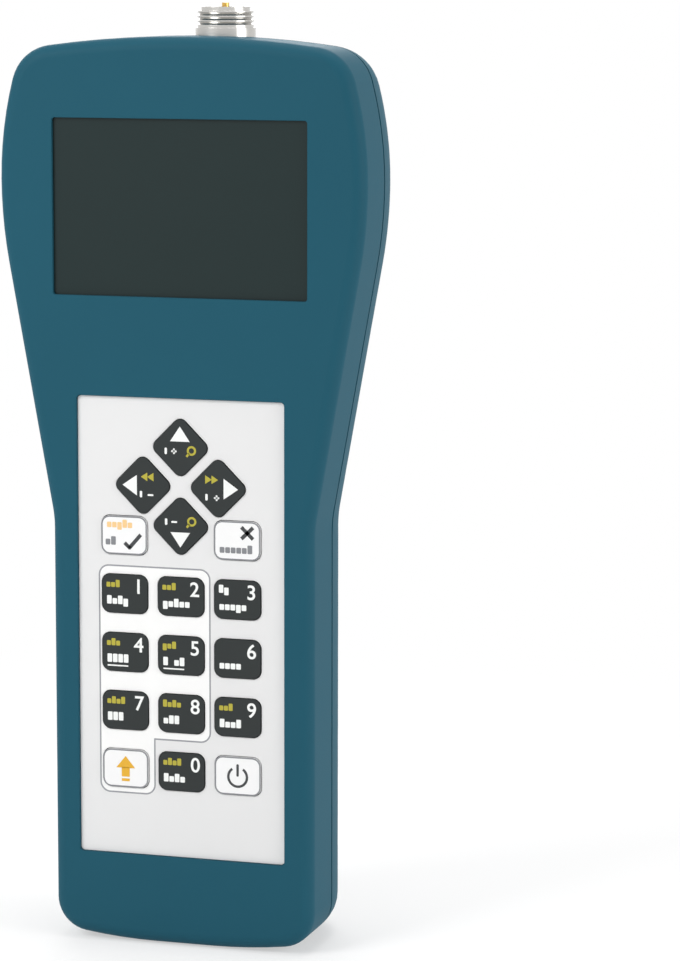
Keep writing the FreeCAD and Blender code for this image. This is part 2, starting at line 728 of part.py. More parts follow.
def build_display():
    glass_w = "window_width + 2 * display_border"
    glass_h = "window_height + 2 * display_border"
    lens = slab("display_window", "window_width + 2 * window_border", "window_height + 2 * window_border",
                "window_corner_radius", FRONT + " + window_lip", "wall - window_lip", z=WINDOW_MIDDLE)
    frame = slab("display_frame", glass_w + " + 2 * part_gap + 2 * frame_wall",
                 glass_h + " + 2 * part_gap + 2 * frame_wall", "window_corner_radius + frame_wall",
                 WALL_BACK, "main_board_front - wall", z=WINDOW_MIDDLE)
    cut_rectangle(frame, "glass_well", glass_w + " + 2 * part_gap", glass_h + " + 2 * part_gap",
                  "window_corner_radius", WALL_BACK, "main_board_front - wall", z=WINDOW_MIDDLE)
    panel = slab("display_panel", glass_w, glass_h, "window_corner_radius", WALL_BACK + " + seat_gap",
                 "display_glass", z=WINDOW_MIDDLE)
    light = slab("display_backlight", glass_w, glass_h, "window_corner_radius",
                 WALL_BACK + " + seat_gap + display_glass", "backlight_thickness", z=WINDOW_MIDDLE)
    flex = slab("display_flex", "flex_width", "2 * header_height", "flex_thickness / 2",
                WALL_BACK + " + seat_gap + display_glass + backlight_thickness",
                "main_board_front - wall - seat_gap - display_glass - backlight_thickness",
                z="window_bottom + 2 * header_height")
    return [lens, frame, panel, light, flex]


def column(number):
    return "%d * key_pitch" % number


def row_height(number):
    return "panel_bottom + panel_height - first_row_drop - %d * key_pitch" % number


def arrow_place(across, up):
    return "%d * arrow_offset" % across, "panel_bottom + panel_height - arrow_drop + %d * arrow_offset" % up


def cut_key_openings(body, front, depth):
    """Openings for every key cap, with the key's gap all round."""
    size = ("key_width + 2 * key_gap", "key_height + 2 * key_gap", "key_corner_radius + key_gap")
    pair = new_sketch(body, "pair_openings", front)
    for across in (-1, 1):
        draw_rectangle(pair, *size, column(across), row_height(-1))
    pocket(body, pair, depth)
    first = cut_rectangle(body, "grid_opening", *size, front, depth, column(-1), row_height(0))
    doc.recompute()
    grid = body.newObject("PartDesign::MultiTransform", body.Name + "_grid")
    steps = []
    for axis, count in (("H_Axis", 3), ("V_Axis", 4)):
        step = body.newObject("PartDesign::LinearPattern", "%s_%s" % (grid.Name, axis[0]))
        step.Direction = (first.Profile[0], [axis])
        step.Reversed = axis == "V_Axis"
        step.Occurrences = count
        bind(step, Length="%d * key_pitch" % (count - 1))
        steps.append(step)
    grid.Originals = [first]
    grid.Transformations = steps
    body.Tip = grid
    for name, (across, up) in ARROWS.items():
        turned = new_sketch(body, name + "_opening", front, turn=45.0)
        # The sketch is turned by an eighth of a turn, so its own axes run along the cap's sides
        x, z = arrow_place(across, up)
        draw_rectangle(turned, "arrow_side + 2 * key_gap", "arrow_side + 2 * key_gap",
                       "arrow_corner_radius + key_gap",
                       "((%s) + (%s)) * sqrt(2) / 2" % (x, z), "((%s) - (%s)) * sqrt(2) / 2" % (z, x))
        pocket(body, turned, depth)


def build_keypad_panel():
    overlay = slab("keypad_overlay", "panel_width", "panel_height", "panel_corner_radius",
                   FRONT + " + panel_recess", "panel_thickness", z=PANEL_MIDDLE)
    cut_key_openings(overlay, FRONT + " + panel_recess", "panel_thickness")
    inner_w = "panel_width - 2 * panel_ledge - 2 * part_gap"
    inner_h = "panel_height - 2 * panel_ledge - 2 * part_gap"
    backing = slab("keypad_backing", inner_w, inner_h, "panel_corner_radius", PANEL_BACK,
                   "wall - panel_recess - panel_thickness", z=PANEL_MIDDLE)
    flange = new_sketch(backing, "flange", WALL_BACK)
    draw_rectangle(flange, "keypad_board_width",
                   "panel_height", "panel_corner_radius", "0", PANEL_MIDDLE)
    pad(backing, flange, "backing_flange")
    cut_key_openings(backing, PANEL_BACK, "case_depth / 4")
    posts = keypad_post_places()
    add_circles(backing, "posts", "board_screw_head_radius", posts, BACKING_BACK,
                "%s - %s" % (KEYPAD_BOARD_FRONT, BACKING_BACK))
    add_circles(backing, "post_holes", "board_screw_radius + seat_gap / 2", posts, KEYPAD_BOARD_FRONT,
                "board_screw_length - keypad_board_thickness", pocket, False)
    return [overlay, backing]


def keypad_post_places():
    low = row_height(3) + " - key_pitch * 3 / 4"
    high = "panel_bottom + panel_height - panel_ledge"
    return both_sides([("keypad_post_offset", low), ("keypad_post_offset", high)])


def build_key(label, x, z, outline, turn=0.0):
    """A key: a cap through the panel, two side tabs behind it, and a plunger over its dome."""
    width, height, corner = outline
    body = new_body(label)
    cap = new_sketch(body, "cap", "-key_rise", turn=turn)
    draw_rectangle(cap, width, height, corner)
    depth = "(%s) - (%s) - panel_recess + key_rise" % (TAB_FRONT, FRONT)
    pad(body, cap, depth)
    tabs = new_sketch(body, "tabs", "%s - (%s) - panel_recess" % (TAB_FRONT, FRONT), turn=turn)
    draw_rectangle(tabs, width + " + 2 * tab_reach", "tab_height", "tab_reach / 2")
    pad(body, tabs, "tab_thickness")
    add_circles(body, "plunger", "plunger_radius", [("0", "0")],
                "%s - (%s) - panel_recess + tab_thickness" % (TAB_FRONT, FRONT), "plunger_length")
    return place(body, x, FRONT + " + panel_recess", z)


def build_keys():
    keys = []
    for label, (across, down) in KEYS.items():
        keys.append(build_key(label, column(across), row_height(down),
                              ("key_width", "key_height", "key_corner_radius")))
    for label, (across, up) in ARROWS.items():
        x, z = arrow_place(across, up)
        keys.append(build_key(label, x, z, ("arrow_side", "arrow_side", "arrow_corner_radius"), 45.0))
    return keys


def build_keypad_board():
    low = row_height(3) + " - key_pitch"
    high = "panel_bottom + panel_height"
    board = slab("keypad_board", "keypad_board_width", "(%s) - (%s)" % (high, low), "panel_corner_radius",
                 KEYPAD_BOARD_FRONT, "keypad_board_thickness", z="((%s) + (%s)) / 2" % (high, low))
    add_circles(board, "screw_holes", "board_screw_radius + seat_gap", keypad_post_places(),
                KEYPAD_BOARD_FRONT, "keypad_board_thickness", pocket)
    header = slab("keypad_header", "header_width", "header_height", "flex_thickness / 2", KEYPAD_BOARD_BACK,
                  "%s - %s" % (MAIN_FRONT, KEYPAD_BOARD_BACK),
                  z="main_board_bottom + 2 * header_height")
    places = [(column(across), row_height(down)) for across, down in KEYS.values()]
    places += [arrow_place(across, up) for across, up in ARROWS.values()]
    domes = []
    for number, (x, z) in enumerate(places, start=1):
        dome = doc.addObject("Part::Cone", "dome%d" % number)
        dome.Placement.Rotation = FreeCAD.Rotation(FreeCAD.Vector(1, 0, 0), -90)
        bind(dome, Radius1="dome_top_radius", Radius2="dome_radius", Height="dome_height")
        domes.append(place(dome, x, DOME_TOP, z))
    contacts = join("dome_contacts", domes)
    contacts.Label = "dome_contacts"
    return [board, header, contacts]


def board_screw(name, x, z, seat):
    """A small screw whose head sits on the back of a board."""
    shank = rod(name + "_shank", "board_screw_radius", "board_screw_length", x,
                "(%s) - board_screw_length" % seat, z)
    head = rod(name + "_head", "board_screw_head_radius", "board_screw_head_height", x, seat, z)
    return join(name, [shank, head])


def build_board_screws():
    screws = []
    for number, (x, z) in enumerate(keypad_post_places(), start=1):
        screws.append(board_screw("keypad_screw%d" % number, x, z, KEYPAD_BOARD_BACK))
    for number, (x, z) in enumerate(both_sides(POST_PLACES), start=1):
        screws.append(board_screw("main_screw%d" % number, x, z, MAIN_BACK))
    group = join("board_screws", screws)
    group.Label = "board_screws"
    return group


def build_main_board():
    board = new_body("main_board")
    outline = new_sketch(board, "outline", MAIN_FRONT)
    draw_outline(outline, "main_board_inset", None, "base_corner_radius / 2", "crown_corner_radius / 2")
    pad(board, outline, "main_board_thickness")
    cut_rectangle(board, "foot", "2 * grip_half_width", "2 * main_board_bottom", "board_screw_radius",
                  MAIN_FRONT, "main_board_thickness")
    # The socket's washer and nut hang into this notch in the board's top edge
    notch_foot = "(%s - washer_thickness - nut_height - part_gap)" % NUT_SEAT
    cut_rectangle(board, "socket_notch", "2 * washer_radius + 4 * part_gap",
                  "2 * (case_height - %s)" % notch_foot, "part_gap", MAIN_FRONT, "main_board_thickness",
                  x="socket_x", z="case_height")
    add_circles(board, "boss_holes", "boss_radius + 2 * part_gap", both_sides(SCREW_PLACES[:2]),
                MAIN_FRONT, "main_board_thickness", pocket)
    add_circles(board, "post_holes", "board_screw_radius + seat_gap", both_sides(POST_PLACES),
                MAIN_FRONT, "main_board_thickness", pocket)
    shield = slab("rf_shield", "shield_width", "shield_height", "shield_skin * 2", MAIN_BACK,
                  "shield_depth", z="shield_bottom + shield_height / 2")
    cut_rectangle(shield, "hollow", "shield_width - 2 * shield_skin", "shield_height - 2 * shield_skin",
                  "shield_skin", MAIN_BACK, "shield_depth - shield_skin",
                  z="shield_bottom + shield_height / 2")
    chips = []
    chip_places = [
        ("chip_thickness * 7", "chip_thickness * 7", "-module_width", "main_board_bottom + module_height"),
        ("chip_thickness * 5", "chip_thickness * 4", "module_width / 2",
         "main_board_bottom + module_height"),
        ("chip_thickness * 4", "chip_thickness * 6", "-module_width / 2",
         "main_board_bottom + 2 * module_height"),
        ("chip_thickness * 6", "chip_thickness * 5", "-module_width / 2",
         "shield_bottom + shield_height + module_height / 4"),
    ]
    for number, (width, height, x, z) in enumerate(chip_places, start=1):
        chips.append(box("chip%d" % number, width, "chip_thickness", height, x, MAIN_BACK, z))
    group = join("board_chips", chips)
    group.Label = "board_chips"
    radio = slab("wireless_module", "module_width", "module_height", "shield_skin", MAIN_BACK,
                 "module_thickness", x="shield_width / 2 - module_width / 4",
                 z="shield_bottom - module_height * 3 / 4")
    beeper = rod("beeper", "beeper_radius", "beeper_thickness", "-module_width * 3 / 2", MAIN_BACK,
                 "main_board_bottom + 2 * module_height")
    beeper.Label = "beeper"
    return [board, shield, group, radio, beeper]


def build_coax_socket():
    """The threaded socket in the top of the case, clamped by a nut from inside."""
    seat = "case_height - socket_spotface_depth"
    shell = new_body("connector_shell")
    thread = new_sketch(shell, "thread", seat, "XY_Plane")
    draw_circle(thread, "socket_thread_radius")
    pad(shell, thread, "socket_rise - socket_lip_height", backward=False)
    lip = new_sketch(shell, "lip", seat, "XY_Plane")
    draw_circle(lip, "socket_lip_radius")
    pad(shell, lip, "socket_rise", backward=False)
    band = new_sketch(shell, "band", seat, "XY_Plane")
    draw_circle(band, "socket_band_radius")
    pad(shell, band, "socket_band_height", backward=False)
    tail = new_sketch(shell, "tail", seat, "XY_Plane")
    draw_circle(tail, "socket_tail_radius")
    pad(shell, tail, "socket_tail_length")
    mouth = new_sketch(shell, "mouth", seat + " + socket_rise", "XY_Plane")
    draw_circle(mouth, "socket_bore_radius")
    pocket(shell, mouth, "socket_bore_depth")
    core = new_sketch(shell, "core", seat + " + socket_rise", "XY_Plane")
    draw_circle(core, "insulator_radius")
    pocket(shell, core, "socket_rise + socket_tail_length")
    ridge = new_sketch(shell, "thread_form", "0", "XZ_Plane")
    draw_thread_groove(ridge, seat)
    groove = shell.newObject("PartDesign::Groove", "thread_groove")
    groove.Profile = ridge
    groove.ReferenceAxis = (ridge, ["V_Axis"])
    groove.Angle = 360.0
    shell.Tip = groove
    doc.recompute()
    turns = shell.newObject("PartDesign::LinearPattern", "thread_turns")
    turns.Originals = [groove]
    turns.Direction = (ridge, ["V_Axis"])
    turns.Occurrences = 3
    bind(turns, Length="2 * socket_thread_pitch")
    shell.Tip = turns
    place(shell, "socket_x", "socket_y", "0")
    insulator = rod("connector_insulator_blank", "insulator_radius - part_gap / 8",
                    "insulator_rise + socket_tail_length", "socket_x", "socket_y",
                    seat + " - socket_tail_length", "z")
    drill = rod("contact_hole", "contact_radius", "insulator_rise + socket_tail_length",
                "socket_x", "socket_y", seat + " - socket_tail_length", "z")
    insulator = cut("connector_insulator", insulator, drill)
    insulator.Label = "connector_insulator"
    contact = rod("connector_contact", "contact_radius", "contact_rise + socket_tail_length",
                  "socket_x", "socket_y", seat + " - socket_tail_length", "z")
    contact.Label = "connector_contact"
    return [shell, insulator, contact] + build_socket_fixing(seat)


def draw_thread_groove(sketch, seat):
    """A triangular groove, one pitch high, just above the socket's plain band."""
    sketch.addGeometry([
        Part.LineSegment(FreeCAD.Vector(5, 1, 0), FreeCAD.Vector(6, 2, 0)),
        Part.LineSegment(FreeCAD.Vector(6, 2, 0), FreeCAD.Vector(6, 0, 0)),
        Part.LineSegment(FreeCAD.Vector(6, 0, 0), FreeCAD.Vector(5, 1, 0)),
    ], False)
    sketch.addConstraint([
        Sketcher.Constraint("Coincident", 0, 2, 1, 1), Sketcher.Constraint("Coincident", 1, 2, 2, 1),
        Sketcher.Constraint("Coincident", 2, 2, 0, 1), Sketcher.Constraint("Vertical", 1),
    ])
    base = "%s + socket_band_height + socket_thread_pitch" % seat
    dimension(
        sketch,
        ("DistanceX", -1, 1, 0, 1, "socket_thread_radius - socket_thread_depth"),
        ("DistanceY", -1, 1, 0, 1, base),
        ("DistanceX", -1, 1, 1, 1, "socket_thread_radius + part_gap / 2"),
        ("DistanceY", 1, 2, 1, 1, "socket_thread_pitch * 0.9"),
        ("DistanceY", 0, 1, 1, 1, "socket_thread_pitch * 0.45"),
    )


def build_socket_fixing(seat):
    pieces = []
    tail_hole = "socket_tail_radius + part_gap / 4"
    washer = cut("connector_washer",
                 rod("washer_disc", "washer_radius", "washer_thickness", "socket_x", "socket_y",
                     NUT_SEAT + " - washer_thickness", "z"),
                 rod("washer_hole", tail_hole, "case_height", "socket_x", "socket_y", "wall", "z"))
    washer.Label = "connector_washer"
    blank = doc.addObject("Part::Prism", "nut_blank")
    blank.Polygon = 6
    bind(blank, Circumradius="nut_across_flats / sqrt(3)", Height="nut_height")
    place(blank, "socket_x", "socket_y",
          NUT_SEAT + " - washer_thickness - nut_height")
    nut = cut("connector_nut", blank,
              rod("nut_hole", tail_hole, "case_height", "socket_x", "socket_y", "wall", "z"))
    nut.Label = "connector_nut"
    lead = new_body("connector_lead")
    route = new_sketch(lead, "route", "socket_x", "YZ_Plane")
    draw_lead_route(route, seat)
    ring = new_sketch(lead, "ring", seat + " - socket_tail_length", "XY_Plane")
    draw_circle(ring, "lead_radius", "socket_x", "socket_y")
    pipe = lead.newObject("PartDesign::AdditivePipe", "lead_pipe")
    pipe.Profile = ring
    pipe.Spine = (route, ["Edge1", "Edge2", "Edge3"])
    lead.Tip = pipe
    return [washer, nut, lead]


def draw_lead_route(sketch, seat):
    """Down from the socket's tail, round a quarter bend, and forward to the board."""
    vector = FreeCAD.Vector
    top = sizes.case_height - sizes.socket_spotface_depth - sizes.socket_tail_length
    turn_z = top - sizes.lead_drop
    r = sizes.lead_bend_radius
    face = sizes.main_board_front + sizes.main_board_thickness - sizes.case_depth / 2
    centre = vector(sizes.socket_y - r, turn_z, 0)
    sketch.addGeometry([
        Part.LineSegment(vector(sizes.socket_y, top, 0), vector(sizes.socket_y, turn_z, 0)),
        Part.ArcOfCircle(Part.Circle(centre, vector(0, 0, 1), r), -math.pi / 2, 0.0),
        Part.LineSegment(vector(sizes.socket_y - r, turn_z - r, 0), vector(face, turn_z - r, 0)),
    ], False)
    sketch.addConstraint([
        Sketcher.Constraint("Vertical", 0), Sketcher.Constraint("Tangent", 0, 2, 1, 2),
        Sketcher.Constraint("Tangent", 1, 1, 2, 1), Sketcher.Constraint("Horizontal", 2),
    ])
    dimension(
        sketch,
        ("DistanceX", -1, 1, 0, 1, "socket_y"),
        ("DistanceY", -1, 1, 0, 1, seat + " - socket_tail_length"),
        ("DistanceY", 0, 2, 0, 1, "lead_drop"),
        ("Radius", 1, "lead_bend_radius"),
        ("DistanceX", -1, 1, 2, 2, MAIN_BACK),
    )


def build_usb():
    board = slab("usb_board", "usb_board_width", "usb_board_height", "shield_skin", MAIN_FRONT,
                 "main_board_thickness", z="wall + part_gap + usb_board_height / 2")
    middle = MAIN_FRONT + " - usb_depth / 2"
    socket = new_body("usb_socket")
    can = new_sketch(socket, "can", "usb_setback", "XY_Plane")
    draw_rectangle(can, "usb_width", "usb_depth", "usb_corner_radius", "0", middle)
    pad(socket, can, "usb_length", backward=False)
    mouth = new_sketch(socket, "mouth", "usb_setback", "XY_Plane")
    draw_rectangle(mouth, "usb_width - 2 * usb_skin", "usb_depth - 2 * usb_skin",
                   "usb_corner_radius - usb_skin", "0", middle)
    pocket(socket, mouth, "usb_length - 2 * usb_skin", backward=False)
    tongue = new_sketch(socket, "tongue", "usb_setback + 2 * usb_skin", "XY_Plane")
    draw_rectangle(tongue, "usb_tongue_width", "usb_tongue_thickness", "usb_tongue_thickness / 4",
                   "0", middle)
    pad(socket, tongue, "usb_length - 3 * usb_skin", backward=False)
    low = "wall + part_gap + usb_board_height - header_height"
    ribbon = slab("usb_ribbon", "ribbon_width", "main_board_bottom - (%s) + header_height" % low,
                  "flex_thickness / 2", MAIN_BACK, "flex_thickness",
                  z="(main_board_bottom + header_height + %s) / 2" % low)
    return [board, socket, ribbon]


def build_batteries():
    body = new_body("battery_tray")
    half = "grip_half_width - wall - tray_side_gap"
    floor = new_sketch(body, "floor", FLOOR_BACK + " - tray_floor")
    draw_rectangle(floor, "2 * (%s)" % half, "%s - tray_bottom" % TRAY_TOP, "tray_wall / 2",
                   "0", "(%s + tray_bottom) / 2" % TRAY_TOP)
    pad(body, floor, "tray_floor")
    ends = new_sketch(body, "ends", FLOOR_BACK)
    for z in ("tray_bottom + tray_wall / 2", TRAY_TOP + " - tray_wall / 2"):
        draw_rectangle(ends, "2 * tray_wall_half_width", "tray_wall", "tray_wall / 8", "0", z)
    pad(body, ends, "tray_wall_height")
    pieces = [body]
    springs, plates = [], []
    y = "cell_axis_depth - leaf_height / 2"
    for label, side in (("battery_left", -1), ("battery_middle", 0), ("battery_right", 1)):
        x = "%d * cell_pitch" % side
        flipped = side == 0
        start = "(tray_bottom + tray_wall + leaf_thickness + cell_button_height)" if flipped else CELL_BOTTOM
        button = start + " - cell_button_height" if flipped else start + " + cell_length"
        can = rod(label + "_can", "cell_radius", "cell_length", x, "cell_axis_depth", start, "z")
        cap = rod(label + "_cap", "cell_button_radius", "cell_button_height", x, "cell_axis_depth",
                  button, "z")
        cell = join(label, [can, cap])
        cell.Label = label
        pieces.append(cell)
        spring_base = TRAY_TOP + " - tray_wall - leaf_depth" if flipped else "tray_bottom + tray_wall"
        plate_base = "tray_bottom + tray_wall" if flipped else TRAY_TOP + " - tray_wall - leaf_thickness"
        flat = ("leaf_width", "leaf_height", "leaf_thickness", x, y)
        fold = box(label + "_fold", "leaf_width", "leaf_thickness", "leaf_depth", x, y, spring_base)
        sides = [box(label + "_leaf", *flat, spring_base),
                 box(label + "_tongue", *flat, spring_base + " + leaf_depth - leaf_thickness")]
        springs.append(join(label + "_spring", [fold] + sides))
        plates.append(box(label + "_plate", *flat, plate_base))
    for label, group in (("battery_springs", springs), ("battery_plates", plates)):
        joined = join(label, group)
        joined.Label = label
        pieces.append(joined)
    return pieces


back_case, back_shell = build_back_case()
parts = [build_front_case(), back_case, build_battery_door(back_shell), build_seal(), build_case_screws()]
parts += build_display()
parts += build_keypad_panel()
parts += build_keys()
parts += build_keypad_board()
parts += build_main_board()
parts += build_coax_socket()
parts += build_usb()
parts += build_batteries()
parts.append(build_board_screws())
doc.recompute()

for thing in doc.Objects:
    if "Invalid" in thing.State or "Error" in thing.State:
        raise RuntimeError("%s did not build" % thing.Label)
for part in parts:
    if part.Shape.isNull() or not part.Shape.isValid():
        raise RuntimeError("%s has no valid shape" % part.Label)
    part.Shape.exportStep("parts/%s.step" % part.Label)
print("%d pieces built" % len(parts))
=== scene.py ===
import bpy
import json
import math
import numpy as np
from mathutils import Matrix, Vector


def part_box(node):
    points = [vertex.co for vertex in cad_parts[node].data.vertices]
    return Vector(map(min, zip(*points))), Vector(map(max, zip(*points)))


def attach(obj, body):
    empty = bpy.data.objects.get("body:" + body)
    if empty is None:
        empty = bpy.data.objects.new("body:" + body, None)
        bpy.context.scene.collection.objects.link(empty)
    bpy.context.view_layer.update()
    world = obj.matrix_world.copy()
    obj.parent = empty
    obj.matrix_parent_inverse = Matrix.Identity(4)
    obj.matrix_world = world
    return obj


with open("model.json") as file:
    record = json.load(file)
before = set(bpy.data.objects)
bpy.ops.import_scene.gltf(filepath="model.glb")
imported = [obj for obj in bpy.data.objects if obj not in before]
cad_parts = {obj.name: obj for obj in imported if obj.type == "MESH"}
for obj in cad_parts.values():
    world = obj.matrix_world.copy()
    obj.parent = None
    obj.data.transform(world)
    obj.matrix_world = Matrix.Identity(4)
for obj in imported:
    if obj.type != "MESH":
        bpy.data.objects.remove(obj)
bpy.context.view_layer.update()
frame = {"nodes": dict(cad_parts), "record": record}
nodes = frame["nodes"]
print("stage: frame loaded,", len(nodes), "pieces")

mm = 0.001  # one millimetre in metres


def linear(red, green, blue):
    # Screen colour 0-255 to the linear colour a shader takes
    values = np.array([red, green, blue]) / 255.0
    low = values / 12.92
    high = ((values + 0.055) / 1.055) ** 2.4
    return tuple(np.where(values <= 0.04045, low, high)) + (1.0,)


# Shared effects as node groups

def newGroup(name, inputs, outputs):
    group = bpy.data.node_groups.new(name, "ShaderNodeTree")
    for label, kind, value in inputs:
        socket = group.interface.new_socket(name=label, in_out="INPUT", socket_type=kind)
        if value is not None:
            socket.default_value = value
    for label, kind in outputs:
        group.interface.new_socket(name=label, in_out="OUTPUT", socket_type=kind)
    return group, group.nodes.new("NodeGroupInput"), group.nodes.new("NodeGroupOutput")


def maths(tree, operation, first, second=None):
    # A Math node fed with sockets or plain numbers
    node = tree.nodes.new("ShaderNodeMath")
    node.operation = operation
    for slot, value in enumerate((first, second)):
        if value is None:
            continue
        if isinstance(value, (int, float)):
            node.inputs[slot].default_value = value
        else:
            tree.links.new(value, node.inputs[slot])
    return node.outputs[0]


noiseLook = {"grainDetail": 3.0, "mottleDetail": 4.0, "roughness": 0.6}


def makeGrainGroup():
    # Fine moulded grain plus a slow mottle: two noises of the object's own coordinates
    group, start, end = newGroup("mouldedGrain", [
        ("Vector", "NodeSocketVector", None), ("Grain Scale", "NodeSocketFloat", 2500.0),
        ("Mottle Scale", "NodeSocketFloat", 35.0)],
        [("Grain", "NodeSocketFloat"), ("Mottle", "NodeSocketFloat")])
    for label, detail in (("Grain", noiseLook["grainDetail"]), ("Mottle", noiseLook["mottleDetail"])):
        noise = group.nodes.new("ShaderNodeTexNoise")
        noise.inputs["Detail"].default_value = detail
        noise.inputs["Roughness"].default_value = noiseLook["roughness"]
        group.links.new(start.outputs["Vector"], noise.inputs["Vector"])
        group.links.new(start.outputs[label + " Scale"], noise.inputs["Scale"])
        group.links.new(noise.outputs["Fac"], end.inputs[label])
    return group


def makeBoxGroup():
    # Distance from a point to a rounded rectangle in the plane of the panel, below zero inside it
    group, start, end = newGroup("roundedBoxDistance", [
        ("Vector", "NodeSocketVector", None), ("Centre X", "NodeSocketFloat", 0.0),
        ("Centre Z", "NodeSocketFloat", 0.0), ("Half X", "NodeSocketFloat", 0.01),
        ("Half Z", "NodeSocketFloat", 0.01), ("Corner", "NodeSocketFloat", 0.001)],
        [("Distance", "NodeSocketFloat")])
    split = group.nodes.new("ShaderNodeSeparateXYZ")
    group.links.new(start.outputs["Vector"], split.inputs[0])
    sides = []
    for axis in ("X", "Z"):
        offset = maths(group, "SUBTRACT", split.outputs[axis], start.outputs["Centre " + axis])
        away = maths(group, "ABSOLUTE", offset)
        inner = maths(group, "SUBTRACT", start.outputs["Half " + axis], start.outputs["Corner"])
        sides.append(maths(group, "SUBTRACT", away, inner))
    outsideX, outsideZ = (maths(group, "MAXIMUM", side, 0.0) for side in sides)
    squares = maths(group, "ADD", maths(group, "MULTIPLY", outsideX, outsideX),
                    maths(group, "MULTIPLY", outsideZ, outsideZ))
    length = maths(group, "SQRT", squares)
    inside = maths(group, "MINIMUM", maths(group, "MAXIMUM", sides[0], sides[1]), 0.0)
    total = maths(group, "ADD", length, inside)
    group.links.new(maths(group, "SUBTRACT", total, start.outputs["Corner"]), end.inputs[0])
    return group


grainGroup = makeGrainGroup()
boxGroup = makeBoxGroup()


# What a finish takes when its own settings below leave it out
plainLook = {
    "metallic": 0.0, "ior": 1.48, "specular": 0.5, "coat": 0.0, "coatRoughness": 0.1,
    "grainScale": 2500.0, "mottleScale": 35.0, "roughSpread": 0.05, "tint": 0.06,
    "bump": 0.15, "bumpDepth": 0.00003, "edge": 0.0, "edgeSamples": 4,
}


def newMaterial(name, settings):
    # A Principled material with grain in its bump and mottle in its colour and roughness
    look = {**plainLook, **settings}
    material = bpy.data.materials.new(name)
    material.use_nodes = True
    tree = material.node_tree
    shader = tree.nodes["Principled BSDF"]
    shader.inputs["Metallic"].default_value = look["metallic"]
    shader.inputs["IOR"].default_value = look["ior"]
    shader.inputs["Specular IOR Level"].default_value = look["specular"]
    shader.inputs["Coat Weight"].default_value = look["coat"]
    shader.inputs["Coat Roughness"].default_value = look["coatRoughness"]
    place = tree.nodes.new("ShaderNodeTexCoord")
    grain = tree.nodes.new("ShaderNodeGroup")
    grain.node_tree = grainGroup
    grain.inputs["Grain Scale"].default_value = look["grainScale"]
    grain.inputs["Mottle Scale"].default_value = look["mottleScale"]
    tree.links.new(place.outputs["Object"], grain.inputs["Vector"])
    ramp = tree.nodes.new("ShaderNodeMapRange")
    ramp.inputs["To Min"].default_value = look["rough"] - look["roughSpread"]
    ramp.inputs["To Max"].default_value = look["rough"] + look["roughSpread"]
    tree.links.new(grain.outputs["Mottle"], ramp.inputs["Value"])
    tree.links.new(ramp.outputs[0], shader.inputs["Roughness"])
    mix = tree.nodes.new("ShaderNodeMix")
    mix.data_type = "RGBA"
    colour = np.array(look["colour"][:3])
    darker, lighter = colour * (1 - look["tint"]), np.minimum(colour * (1 + look["tint"]), 1.0)
    mix.inputs["A"].default_value = tuple(darker) + (1.0,)
    mix.inputs["B"].default_value = tuple(lighter) + (1.0,)
    tree.links.new(grain.outputs["Mottle"], mix.inputs["Factor"])
    tree.links.new(mix.outputs["Result"], shader.inputs["Base Color"])
    bump = tree.nodes.new("ShaderNodeBump")
    bump.inputs["Strength"].default_value = look["bump"]
    bump.inputs["Distance"].default_value = look["bumpDepth"]
    tree.links.new(grain.outputs["Grain"], bump.inputs["Height"])
    if look["edge"]:
        soft = tree.nodes.new("ShaderNodeBevel")
        soft.samples = look["edgeSamples"]
        soft.inputs["Radius"].default_value = look["edge"]
        tree.links.new(soft.outputs[0], bump.inputs["Normal"])
    tree.links.new(bump.outputs[0], shader.inputs["Normal"])
    return material


def layer(material, mask, colour):
    # Lay one more colour over the material's base colour where the mask is 1
    tree = material.node_tree
    shader = tree.nodes["Principled BSDF"]
    below = shader.inputs["Base Color"].links[0].from_socket
    mix = tree.nodes.new("ShaderNodeMix")
    mix.data_type = "RGBA"
    mix.inputs["B"].default_value = colour
    tree.links.new(below, mix.inputs["A"])
    tree.links.new(mask, mix.inputs["Factor"])
    tree.links.new(mix.outputs["Result"], shader.inputs["Base Color"])


